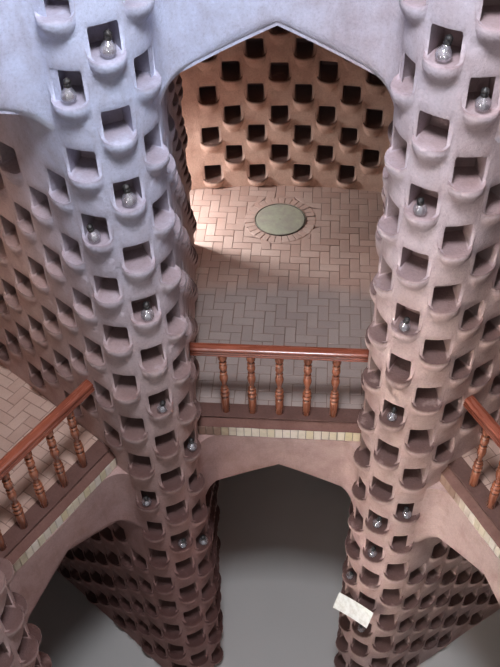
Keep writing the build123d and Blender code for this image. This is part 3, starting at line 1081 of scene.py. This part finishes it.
def add_slab(batch, polygon, top, bottom, rounding=0.0, **kept):
    """Adds a flat solid over a convex polygon, its top edge rounded in, as three rings of points."""
    count = len(polygon)
    middle_x = sum(x for x, y in polygon) / count
    middle_y = sum(y for x, y in polygon) / count
    points = [(x, y, bottom) for x, y in polygon] + [(x, y, top - rounding) for x, y in polygon]
    for x, y in polygon:
        reach = hypot(x - middle_x, y - middle_y)
        shrink = max(0.0, 1 - rounding * 1.4 / max(reach, 1e-6))
        points.append((middle_x + (x - middle_x) * shrink, middle_y + (y - middle_y) * shrink, top))
    faces = [tuple(range(count))[::-1], tuple(range(2 * count, 3 * count))]
    for number in range(count):
        after = (number + 1) % count
        for ring in (0, count):
            faces.append((ring + number, ring + after, ring + count + after, ring + count + number))
    batch.add(points, faces, **kept)


def floor_regions(name):
    """The convex pieces of a bay's floor: between the flanks, and the passage at each side."""
    end_lean = atan2(half_width(FLANK_END_Y), FLANK_END_Y)
    wall_lean = atan2(half_width(FLANK_WALL_Y), FLANK_WALL_Y)
    outer_lean = HALF_BAY + WALL_OVERRUN - 0.003
    half = half_width(KERB_BACK_Y)
    front = [(-half, KERB_BACK_Y), (half, KERB_BACK_Y)]
    regions = [front + arc_points(WALL_INNER, wall_lean, -wall_lean, 10)]
    passages = [((end_lean, HALF_BAY), (wall_lean, HALF_BAY))]
    passages.append(((-HALF_BAY, -end_lean), (-HALF_BAY, -wall_lean)))
    if name == "left":
        passages.append(((-outer_lean, -HALF_BAY), (-outer_lean, -HALF_BAY)))
    if name == "right":
        passages.append(((HALF_BAY, outer_lean), (HALF_BAY, outer_lean)))
    for near, far in passages:
        far_edge = arc_points(WALL_INNER, far[1], far[0], 6)
        regions.append(arc_points(PIER_END, near[0], near[1], 1) + far_edge)
    return regions


def cut_round(brick, x, y, radius):
    """A brick whose corners inside a round hole are moved out to the hole's edge."""
    out = []
    for corner in brick:
        reach = hypot(corner[0] - x, corner[1] - y)
        if reach < radius:
            grow = radius / max(reach, 1e-4)
            corner = (x + (corner[0] - x) * grow, y + (corner[1] - y) * grow)
        out.append(corner)
    return out


def lay_bricks(batch, region, hole, sky_lit_reach, chance):
    """Lays floor bricks herringbone over a region, leaving a round hole free.

    Bricks nearer the shaft's middle than the sky-lit reach are greyed with painted sky light."""
    sizes = bpy.context.scene.tower_sizes
    wide, joint = sizes.brick_wide, sizes.joint / 2
    xs, ys = [x for x, y in region], [y for x, y in region]
    for i in range(floor(min(xs) / wide) - 2, ceil(max(xs) / wide) + 2):
        for j in range(floor(min(ys) / wide) - 2, ceil(max(ys) / wide) + 2):
            kind = (i - j) % 4
            if kind not in (0, 3):
                continue
            long_x, long_y = (2, 1) if kind == 0 else (1, 2)
            x0, y0 = i * wide + joint, j * wide + joint
            x1, y1 = (i + long_x) * wide - joint, (j + long_y) * wide - joint
            brick = inside_region([(x0, y0), (x1, y0), (x1, y1), (x0, y1)], region)
            tone = chance.random()
            sink = chance.uniform(0.0, 0.0025)
            if len(brick) < 3 or area_of(brick) < SMALLEST_BRICK:
                continue
            if hole:
                brick = cut_round(brick, *hole)
                if area_of(brick) < SMALLEST_BRICK_AT_HOLE:
                    continue
            near = [(sky_lit_reach - hypot(x, y)) / SKY_LIT_FLOOR_BLEND for x, y in brick]
            edge = [min(1.0, max(0.0, share)) for share in near] * SLAB_RINGS
            add_slab(batch, brick, -sink, BRICK_BOTTOM, BRICK_ROUNDING, tone=tone, edge=edge)


class TOWER_OT_floors(bpy.types.Operator):
    """Lay the brick floors, the ring of bricks and the round cover"""

    bl_idname = "tower.floors"
    bl_label = "Floors"

    def execute(self, context):
        top_floor = Batch("tone", "edge", "mortar")
        hole = (COVER_X, COVER_Y, COVER_RADIUS + COVER_RING)
        for name, axis in BAY_AXES.items():
            # Only the centre bay's floor takes painted sky light near the rail
            sky_lit_reach = SKY_LIT_FLOOR_REACH if name == "centre" else 0.0
            for level, height in (("gallery", GALLERY), ("top", TOP)):
                chance = random.Random(name + level)
                bricks = Batch("tone", "edge", "mortar")
                opening = hole if (name, level) == ("centre", "gallery") else None
                for region in floor_regions(name):
                    add_slab(bricks, region, BED_TOP, BED_BOTTOM, tone=0.5, mortar=1.0)
                    lay_bricks(bricks, region, opening, sky_lit_reach, chance)
                bricks.placed(axis, height)
                if level == "gallery":
                    node = "gallery_paving_" + name
                    bricks.piece(node + "_bricks", "floor_brick", [node])
                else:
                    top_floor.join(bricks)
        top_floor.piece("top_paving_bricks", "floor_brick", ["top_paving"])
        self.ring()
        self.cover()
        return {"FINISHED"}

    def ring(self):
        """The ring of bricks round the cover, in its bed of mortar."""
        chance = random.Random("ring")
        bricks = Batch("tone", "edge", "mortar")
        inner, outer = COVER_RADIUS + 0.002, COVER_RADIUS + COVER_RING
        turn = 2 * pi / RING_BRICKS
        for number in range(RING_BRICKS):
            start, end = turn * (number + RING_JOINT_SHARE), turn * (number + 1 - RING_JOINT_SHARE)
            brick = self.wedge(inner, outer, start, end)
            top = 0.004 - chance.uniform(0, 0.003)
            add_slab(bricks, brick, top, -0.02, BRICK_ROUNDING, tone=chance.uniform(0.4, 1))
            bed = self.wedge(inner - 0.001, outer, turn * number, turn * (number + 1))
            add_slab(bricks, bed, -0.004, BED_BOTTOM, tone=0.5, mortar=1.0)
        bricks.placed(BAY_AXES["centre"], GALLERY)
        bricks.piece("floor_cover_ring_bricks", "ring_brick", ["floor_cover_ring"])

    def wedge(self, inner, outer, start, end):
        """The outline of one brick of the ring, between two radii and two leans."""
        corners = ((inner, start), (outer, start), (outer, end), (inner, end))
        return [(COVER_X + reach * cos(lean), COVER_Y + reach * sin(lean)) for reach, lean in corners]

    def cover(self):
        """The round cover: a slightly dished plate with a raised rim and a small lift hole, with painted
        shade in the gaps round the rim and in the hole.
        """
        count = 64
        points, faces = lathed([(radius, height) for radius, height, dark in COVER_PROFILE], count)
        plate = Batch("rim")
        rim = [dark for radius, height, dark in COVER_PROFILE for step in range(count)]
        plate.add([(COVER_X + x, COVER_Y + y, z) for x, y, z in points], faces, rim=rim)
        plate.placed(BAY_AXES["centre"], GALLERY)
        plate.piece("floor_cover_plate", "cover_metal", ["floor_cover"], 25)


# Floor edges

# The outlines of a floor's edge, as (y, z) from the floor's level
EDGE_BOARD = (
    (1.962, -0.017), (1.958, -0.013), (1.958, -0.004), (1.962, 0.0), (2.10, 0.0), (2.10, -0.017),
)
EDGE_SLOPE = (
    (1.905, -0.077), (1.903, -0.072), (1.930, -0.050), (1.968, -0.027), (1.985, -0.024), (1.990, -0.077),
)
# A near-black strip in the gap under the board, standing in for its shadow
EDGE_GAP_SHADE_STRIP = ((1.982, -0.030), (1.982, -0.016), (2.09, -0.016), (2.09, -0.070), (1.989, -0.070))
# Each strip of the edge with how far it is mixed towards the dark gap colour of painted shadow, how
# dusty it is and how much it waves
EDGE_STRIPS = ((EDGE_BOARD, 0.55, 0.0, 0.0), (EDGE_SLOPE, 0.0, 0.3, 0.002), (EDGE_GAP_SHADE_STRIP, 1.0, 0.0, 0.0))


class TOWER_OT_floor_edges(bpy.types.Operator):
    """Build the floor's edge board, the plaster slope under it and the band of pale tiles"""

    bl_idname = "tower.floor_edges"
    bl_label = "Floor edges"

    def execute(self, context):
        top_kerb, top_band = Batch("recess", "dust"), Batch("tone", "smear", "mortar")
        for name, axis in BAY_AXES.items():
            for level, height in (("gallery", GALLERY), ("top", TOP)):
                kerb = self.kerb().placed(axis, height)
                band = self.band(random.Random("edge" + name + level)).placed(axis, height)
                if level == "gallery":
                    kerb_node, band_node = "gallery_kerb_" + name, "tile_band_" + name
                    kerb.piece(kerb_node + "_edge", "kerb_plaster", [kerb_node])
                    band.piece(band_node + "_tiles", "edge_tile", [band_node])
                else:
                    top_kerb.join(kerb)
                    top_band.join(band)
        top_kerb.piece("top_kerb_edge", "kerb_plaster", ["top_kerb"])
        top_band.piece("top_tile_band_tiles", "edge_tile", ["top_tile_band"])
        return {"FINISHED"}

    def kerb(self):
        """A thin edge board over a plaster slope, with a dark strip of painted shadow in the gap between
        them.
        """
        kerb = Batch("recess", "dust")
        for profile, recess, dust, wave in EDGE_STRIPS:
            kerb.add(*strip_across(profile, wave), recess=recess, dust=dust)
        return kerb

    def band(self, chance):
        """Pale tiles side by side in their bed, smeared with mud towards one end."""
        sizes = bpy.context.scene.tower_sizes
        band = Batch("tone", "smear", "mortar")
        low, high = -KERB_HIGH - TILE_HIGH, -KERB_HIGH - 0.002
        bed = [(TILE_BED_Y, low + 0.002), (TILE_BED_Y, high)]
        bed += [(KERB_BACK_Y, high), (KERB_BACK_Y, low + 0.002)]
        band.add(*strip_across(bed), mortar=1.0)
        half = half_width(TILE_FACE_Y) - 0.004
        count = int(2 * half / sizes.tile_pitch)
        pitch = 2 * half / count
        sides = []
        for start in (0, 4):
            for corner in range(4):
                after = (corner + 1) % 4
                sides.append((start + 4 + corner, start + 4 + after, start + after, start + corner))
        sides += [(8, 9, 10, 11), (3, 2, 1, 0)]
        for number in range(count):
            x0 = -half + number * pitch + TILE_JOINT / 2
            x1 = x0 + pitch - TILE_JOINT
            face = TILE_FACE_Y + chance.uniform(0.0, 0.004)
            z0, z1 = low + 0.004 + chance.uniform(0, 0.003), high - 0.004
            tile = []
            for y, inset in ((TILE_BACK_Y, 0.0), (face + 0.003, 0.0), (face, TILE_BEVEL)):
                tile += [(x0 + inset, y, z0 + inset), (x1 - inset, y, z0 + inset)]
                tile += [(x1 - inset, y, z1 - inset), (x0 + inset, y, z1 - inset)]
            smear = min(1.0, max(0.0, (-(x0 + x1) / 2 - 0.15) / 0.5)) * 0.75 + 0.1
            band.add(tile, sides, tone=chance.uniform(0, 1) ** 2, smear=smear)
        return band


# Balustrades

# A baluster from its foot: radius, height, and 1 where it is cut in and takes painted shade
BALUSTER_PROFILE = (
    (0.032, 0.000, 0), (0.035, 0.003, 0), (0.035, 0.166, 0), (0.033, 0.174, 0), (0.026, 0.178, 1),
    (0.023, 0.184, 1), (0.031, 0.190, 0), (0.038, 0.202, 0), (0.038, 0.214, 0), (0.031, 0.226, 0),
    (0.023, 0.231, 1), (0.029, 0.237, 0), (0.036, 0.248, 0), (0.036, 0.260, 0), (0.028, 0.272, 0),
    (0.020, 0.277, 1), (0.021, 0.284, 1), (0.028, 0.290, 0), (0.030, 0.296, 0), (0.027, 0.302, 0),
    (0.020, 0.308, 1), (0.020, 0.330, 0), (0.024, 0.352, 0), (0.030, 0.376, 0), (0.035, 0.402, 0),
    (0.035, 0.420, 0), (0.031, 0.440, 0), (0.023, 0.454, 0), (0.019, 0.460, 1), (0.026, 0.466, 0),
    (0.031, 0.474, 0), (0.027, 0.482, 0), (0.019, 0.487, 1), (0.021, 0.496, 0), (0.029, 0.510, 0),
    (0.034, 0.528, 0), (0.033, 0.546, 0), (0.027, 0.562, 0), (0.020, 0.572, 1), (0.024, 0.577, 0),
    (0.032, 0.586, 0), (0.027, 0.595, 0), (0.019, 0.600, 1), (0.019, 0.618, 0), (0.026, 0.628, 0),
    (0.035, 0.634, 0), (0.036, 0.694, 0), (0.033, 0.700, 0),
)
# Half of the handrail's section from its middle, as (side, height), and the heights of its cuts, which
# take painted shade
RAIL_SECTION = (
    (0.038, 0.000), (0.0465, 0.003), (0.0475, 0.010), (0.0455, 0.015), (0.041, 0.018), (0.041, 0.021),
    (0.0445, 0.024), (0.045, 0.031), (0.043, 0.035), (0.039, 0.038), (0.039, 0.041), (0.042, 0.044),
    (0.0425, 0.054), (0.041, 0.061), (0.036, 0.067), (0.026, 0.071), (0.013, 0.0725), (0.0, 0.073),
)
RAIL_CUTS = (0.0195, 0.0395)
RAIL_CUT_HALF = 0.003


class TOWER_OT_balustrades(bpy.types.Operator):
    """Turn the balusters and run the moulded handrails"""

    bl_idname = "tower.balustrades"
    bl_label = "Balustrades"

    def execute(self, context):
        for name, axis in BAY_AXES.items():
            self.balusters(name, axis)
            self.handrail(name, axis)
        return {"FINISHED"}

    def balusters(self, name, axis):
        """The turned balusters of one bay, the grain of each its own."""
        chance = random.Random("turned" + name)
        batch = Batch("grain", "groove")
        count = 24
        form, faces = lathed([(radius, height) for radius, height, cut in BALUSTER_PROFILE], count)
        grooves = [float(cut) for radius, height, cut in BALUSTER_PROFILE for step in range(count)]
        for number in range(BALUSTER_COUNT):
            place = (number - (BALUSTER_COUNT - 1) / 2) * BALUSTER_PITCH
            shift = chance.uniform(0, 9)
            points = [(place + x, RAIL_Y + y, z) for x, y, z in form]
            grain = [(z + shift, x + shift, y) for x, y, z in form]
            batch.add(points, faces, grain=grain, groove=grooves)
        node = "balusters_" + name
        batch.placed(axis, GALLERY).piece(node + "_turned", "turned_wood", [node], 50)

    def handrail(self, name, axis):
        """The moulded handrail of one bay, with painted shade in its cuts."""
        half = [(RAIL_Y + side, BALUSTER_HIGH + height) for side, height in RAIL_SECTION]
        other = [(2 * RAIL_Y - y, z) for y, z in reversed(half[:-1])]
        points, faces = strip_across(half + other, 0.0, 30)
        cuts = [BALUSTER_HIGH + cut for cut in RAIL_CUTS]
        grooves = [float(any(abs(z - cut) < RAIL_CUT_HALF for cut in cuts)) for x, y, z in points]
        rail = Batch("grain", "groove")
        rail.add(points, [face[::-1] for face in faces], grain=list(points), groove=grooves)
        node = "handrail_" + name
        rail.placed(axis, GALLERY).piece(node + "_moulded", "rail_wood", [node], 40)


# Small things in the niches

# The niches that hold a bulb: pier, column from the tip, row from the gallery floor
BULB_NICHES = (
    ("left", 0, 15), ("left", 0, 11), ("left", 0, 7), ("left", 0, 3), ("left", -1, -2),
    ("left", 0, -5), ("left", -1, 10), ("left", 1, 0), ("left", 1, -6), ("left", -1, 14),
    ("right", 0, 15), ("right", 1, 14), ("right", 0, 11), ("right", 0, 7), ("right", 0, 3),
    ("right", 0, -3), ("right", 0, -5), ("right", -1, -8), ("right", 0, -11), ("right", 1, -2),
)
BULB_PROFILE = (
    (0.005, 0.000), (0.022, 0.003), (0.035, 0.012), (0.042, 0.027), (0.043, 0.040), (0.039, 0.056),
    (0.030, 0.070), (0.020, 0.081), (0.016, 0.090),
)
HOLDER_PROFILE = (
    (0.017, 0.086), (0.021, 0.088), (0.021, 0.104), (0.018, 0.106), (0.021, 0.109), (0.021, 0.124),
    (0.015, 0.130), (0.008, 0.134), (0.004, 0.138),
)
BULB_LEAN = 14
# The paper label on the right pier's nose: its middle along the outline, its length, the heights
# of its two long edges against the gallery, how far each stands out, and its rise and curl
LABEL_MIDDLE = -0.05
LABEL_LONG = 0.40
LABEL_EDGES = (-2.24, -2.06)
LABEL_OUT = (0.165, 0.080)
LABEL_RISE = 0.10
LABEL_CURL = 0.03
PAPER_THICK = 0.0015


def niche_spot(pier, column, row, out):
    """A place in a niche: on its floor, a distance out from the pier's face."""
    sizes = bpy.context.scene.tower_sizes
    along = np.array([[column * COLUMN]])
    level = PIER_FIRST_ROW + row * COURSE - sizes.niche_high / 2 + 0.008
    spot = pier_place(along, np.array([[level]]), np.array([[out]]), np.array([[1.0]]), along)
    return turned(spot, PIER_AXES[pier], GALLERY)[0]


class TOWER_OT_fittings(bpy.types.Operator):
    """Set the glass bulbs in their niches and the blank label on its pier"""

    bl_idname = "tower.fittings"
    bl_label = "Fittings"

    def execute(self, context):
        chance = random.Random("bulbs")
        glass, holders = Batch(), Batch()
        forms = ((glass, lathed(BULB_PROFILE, 20)), (holders, lathed(HOLDER_PROFILE, 20)))
        for pier, column, row in BULB_NICHES:
            spot = Vector(niche_spot(pier, column, row, 0.01))
            lean = Matrix.Rotation(radians(chance.uniform(-BULB_LEAN, BULB_LEAN)), 4, "X")
            lean = lean @ Matrix.Rotation(radians(chance.uniform(-BULB_LEAN, BULB_LEAN)), 4, "Y")
            size = chance.uniform(0.90, 1.08)
            for batch, (points, faces) in forms:
                batch.add([tuple(spot + lean @ (Vector(point) * size)) for point in points], faces)
        glass.piece("niche_bulbs", "bulb_glass", (), 60)
        holders.piece("niche_bulb_holders", "lamp_holder", (), 50)
        self.label()
        return {"FINISHED"}

    def label(self):
        """A blank paper strip, curled over the pier's nose."""
        points, faces = [], []
        steps = 10
        home = np.full((1, 2), LABEL_MIDDLE)
        for step in range(steps + 1):
            share = step / steps - 0.5
            along = home + share * LABEL_LONG
            height = np.array([LABEL_EDGES]) + share * LABEL_RISE
            out = np.array([LABEL_OUT]) + LABEL_CURL * share * share
            for skin in (0.0, PAPER_THICK):
                spots = pier_place(along, height, out + skin, np.ones((1, 2)), home)
                points += [tuple(point) for point in spots]
        for a in range(0, 4 * steps, 4):
            b = a + 4
            faces += [(a, a + 1, b + 1, b), (a + 2, b + 2, b + 3, a + 3)]
            faces += [(a, b, b + 2, a + 2), (a + 1, a + 3, b + 3, b + 1)]
        faces += [(0, 2, 3, 1), (4 * steps, 4 * steps + 1, 4 * steps + 3, 4 * steps + 2)]
        piece("blank_label", turned(points, PIER_AXES["right"], GALLERY), faces, "blank_label")


# Stage

# The lamps: place, aim, size, power, colour, and the spread of the light in degrees
LAMPS = {
    "Sky_light": ((0, -2.62, 11.5), (0, -2.62, 0), 1.2, 450, (0.88, 0.92, 1.0), 180),
    "Low_key_light": ((-3.0, -5.0, 3.6), (1.2, -0.6, 2.5), 0.8, 18, (1.0, 0.93, 0.86), 44),
    "High_key_light": ((-3.0, -5.0, 6.4), (1.2, -0.6, 5.4), 0.8, 16, (1.0, 0.92, 0.84), 44),
    "Glint_light": ((0.7, -4.7, 9.3), (0.2, 0, 4.5), 0.12, 12, (1.0, 1.0, 1.0), 180),
    "Front_light": ((-2, -13, 13), (0, 1, 5.0), 6.0, 130, (1.0, 0.98, 0.96), 180),
    "Passage_light": ((-2.0, 2.4, 5.0), (-0.8, 2.15, 4.04), 0.4, 32, (0.88, 0.94, 1.0), 110),
    "Bay_light": ((-3.7, -0.9, 6.8), (-1.6, 0.8, 5.4), 0.6, 8, (1.0, 0.78, 0.66), 110),
    "Back_light": ((0, 13, 9), (0, 3, 4), 8.0, 900, (1.0, 1.0, 1.0), 180),
    "Left_light": ((-13, 3, 8), (-4, 1, 4), 6.0, 450, (1.0, 1.0, 1.0), 180),
    "Right_light": ((13, 3, 8), (4, 1, 4), 6.0, 450, (1.0, 1.0, 1.0), 180),
}
STUDIO_REACH = 40.0


def camera_turn():
    """The camera's turn from its pitch, roll and yaw."""
    base = Matrix(((1, 0, 0), (0, 0, -1), (0, 1, 0)))
    c, s = cos(CAMERA_YAW), sin(CAMERA_YAW)
    yaw = Matrix(((c, s, 0), (-s, c, 0), (0, 0, 1)))
    c, s = cos(CAMERA_PITCH), sin(CAMERA_PITCH)
    pitch = Matrix(((1, 0, 0), (0, c, -s), (0, s, c)))
    c, s = cos(CAMERA_ROLL), sin(CAMERA_ROLL)
    roll = Matrix(((c, -s, 0), (s, c, 0), (0, 0, 1)))
    right, down, ahead = roll @ pitch @ base @ yaw
    return Matrix((right, -down, -ahead)).transposed().to_4x4()


def area_light(name, place, aim, size, power, colour, spread):
    """A soft square lamp aimed at a place, its light held within a spread in degrees."""
    lamp = bpy.data.lights.new(name, "AREA")
    lamp.size = size
    lamp.spread = radians(spread)
    lamp.energy = power
    lamp.color = colour
    thing = bpy.data.objects.new(name, lamp)
    thing.location = place
    thing.rotation_euler = (Vector(aim) - Vector(place)).to_track_quat("-Z", "Y").to_euler()
    bpy.context.scene.collection.objects.link(thing)


def studio_sky():
    """A faint even sky that lights, seen as a plain pale background."""
    board = Board(bpy.data.worlds.new("Studio_sky"))
    light = board.node("ShaderNodeBackground", {}, {"Color": (0.93, 0.95, 1.0, 1), "Strength": 0.09})
    pale = board.node("ShaderNodeBackground", {}, {"Color": (0.82, 0.82, 0.82, 1), "Strength": 1.0})
    mixed = board.node("ShaderNodeMixShader", {}, {0: board.seen_plain(), 1: light, 2: pale})
    return board.finish(mixed, "ShaderNodeOutputWorld")


class TOWER_OT_stage(bpy.types.Operator):
    """Set the pale floor, the soft light and the camera"""

    bl_idname = "tower.stage"
    bl_label = "Stage"

    def execute(self, context):
        scene = context.scene
        scene.view_settings.view_transform = "Standard"
        scene.world = studio_sky()
        for name, settings in LAMPS.items():
            area_light(name, *settings)
        self.ground(scene)
        self.camera(scene)
        return {"FINISHED"}

    def ground(self, scene):
        """The plain studio floor under the tower."""
        mesh = bpy.data.meshes.new("Studio_floor")
        near, far = -STUDIO_REACH, STUDIO_REACH
        corners = [(near, near, 0), (far, near, 0), (far, far, 0), (near, far, 0)]
        mesh.from_pydata(corners, [], [(0, 1, 2, 3)])
        mesh.materials.append(pale_floor("Studio_floor"))
        ground = bpy.data.objects.new("Studio_floor", mesh)
        scene.collection.objects.link(ground)

    def camera(self, scene):
        """The camera over the shaft, looking down across it into the centre bay."""
        camera = bpy.data.cameras.new("Camera")
        camera.sensor_width = SENSOR
        camera.lens = SENSOR * FOCAL_PIXELS / FRAME_LONG_SIDE
        camera.clip_end = 200
        thing = bpy.data.objects.new("Camera", camera)
        thing.matrix_world = Matrix.Translation(CAMERA_PLACE) @ camera_turn()
        scene.collection.objects.link(thing)
        scene.camera = thing


class TOWER_PT_panel(bpy.types.Panel):
    """Lists the tower's settings and steps"""

    bl_idname = "TOWER_PT_panel"
    bl_label = "Pigeon tower"
    bl_space_type = "VIEW_3D"
    bl_region_type = "UI"
    bl_category = "Tower"

    def draw(self, context):
        for group in (context.scene.tower_sizes, context.scene.tower_colours):
            for key in group.__annotations__:
                self.layout.prop(group, key)
        for step in STEPS_IN_ORDER:
            self.layout.operator(step.bl_idname)


STEPS_IN_ORDER = (
    TOWER_OT_piers, TOWER_OT_outer_walls, TOWER_OT_arches, TOWER_OT_floors,
    TOWER_OT_floor_edges, TOWER_OT_balustrades, TOWER_OT_fittings, TOWER_OT_stage,
)
CLASSES = (TowerSizes, TowerColours, *STEPS_IN_ORDER, TOWER_PT_panel)


def register():
    """Registers the tower's classes and its settings."""
    for kind in CLASSES:
        bpy.utils.register_class(kind)
    bpy.types.Scene.tower_sizes = PointerProperty(type=TowerSizes)
    bpy.types.Scene.tower_colours = PointerProperty(type=TowerColours)


def unregister():
    """Takes the tower's settings and classes out again."""
    del bpy.types.Scene.tower_colours
    del bpy.types.Scene.tower_sizes
    for kind in reversed(CLASSES):
        bpy.utils.unregister_class(kind)


def main():
    """Registers the tower's settings, makes its finishes and runs its steps in order."""
    register()
    paint_all()
    for step in STEPS_IN_ORDER:
        group, name = step.bl_idname.split(".")
        getattr(getattr(bpy.ops, group), name)()


if __name__ == "__main__":
    main()
